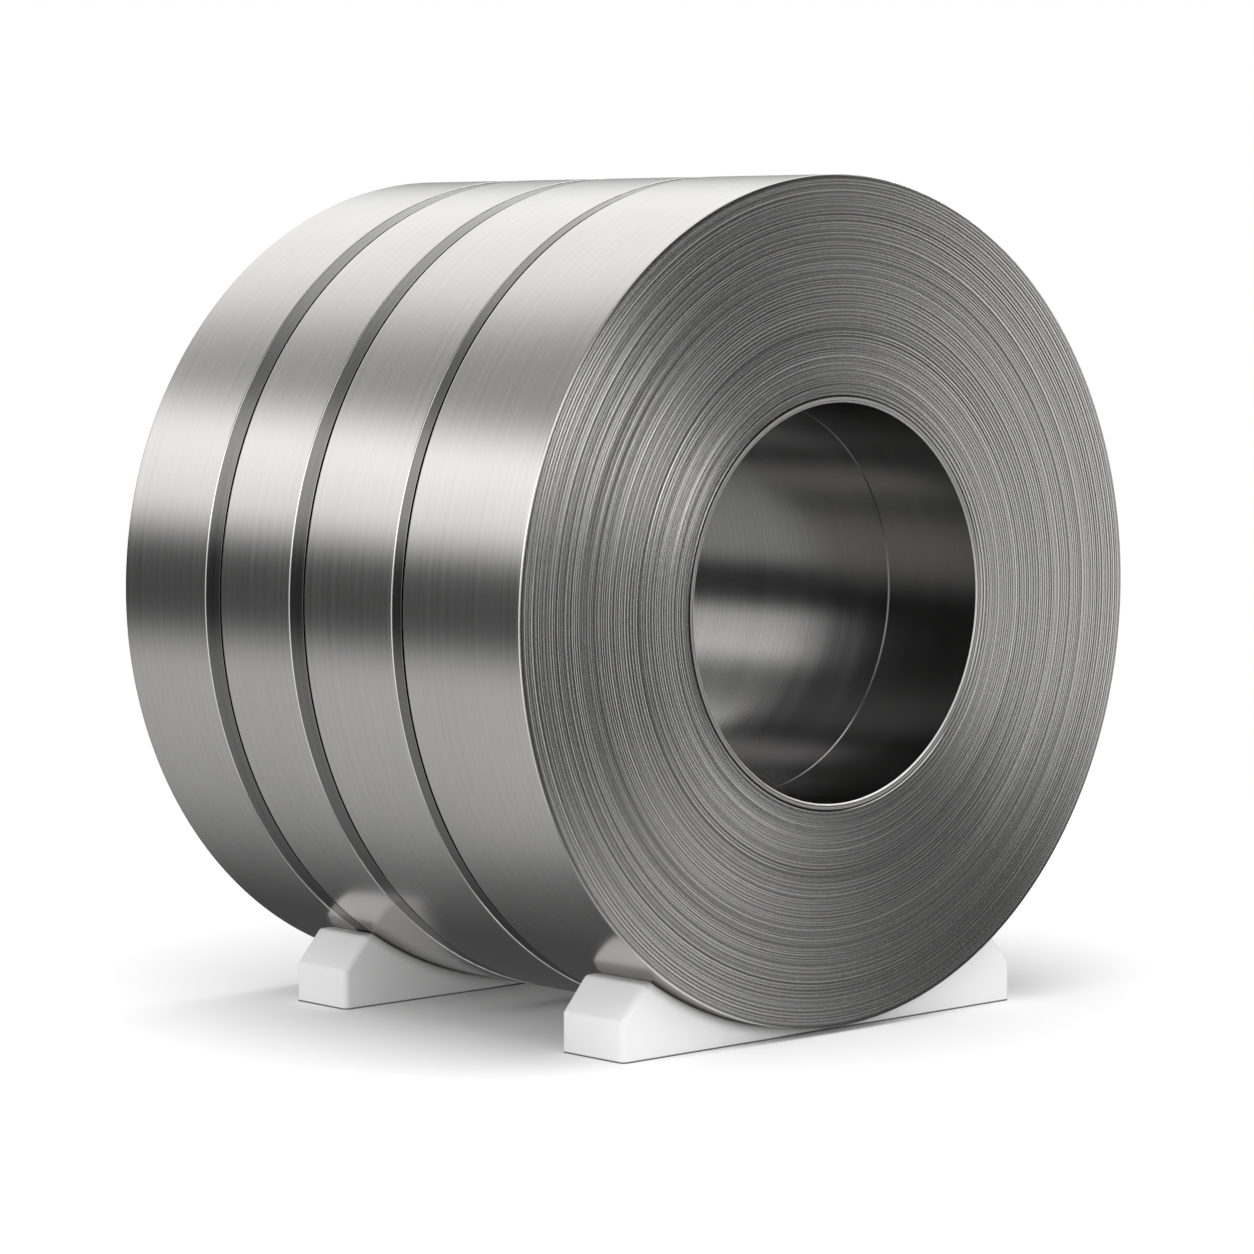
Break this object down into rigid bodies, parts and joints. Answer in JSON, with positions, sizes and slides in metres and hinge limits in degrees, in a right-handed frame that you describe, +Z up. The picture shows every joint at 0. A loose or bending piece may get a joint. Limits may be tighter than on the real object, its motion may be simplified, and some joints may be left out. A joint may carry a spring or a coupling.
{
  "type": "stainless steel coil",
  "caption": "Four slit coils of brushed stainless strip with spacer rings between them, on one core sleeve and two white moulded saddle blocks.",
  "frame": {"origin": "on the floor, under the middle of the coils", "axes": "+X along the coils' axis towards the front end, +Z up, +Y across the coils, along the saddle blocks"},
  "size_m": [0.779, 1.08, 1.0883],
  "materials": {
    "strip_steel": "fine brushed, brushed along the strip",
    "spacer_steel": "brushed round the ring, darker than the strip",
    "sleeve_steel": "fine brushed, darker than the strip",
    "block_plastic": "satin moulded"
  },
  "bodies": {
    "root": {"slit_coil_rear": "strip_steel", "slit_coil_second": "strip_steel", "slit_coil_third": "strip_steel", "slit_coil_front": "strip_steel", "spacer_ring_rear": "spacer_steel", "spacer_ring_middle": "spacer_steel", "spacer_ring_front": "spacer_steel", "core_sleeve_rear": "sleeve_steel", "core_sleeve_front": "sleeve_steel", "saddle_block_rear": "block_plastic", "saddle_block_front": "block_plastic"}
  },
  "joints": []
}
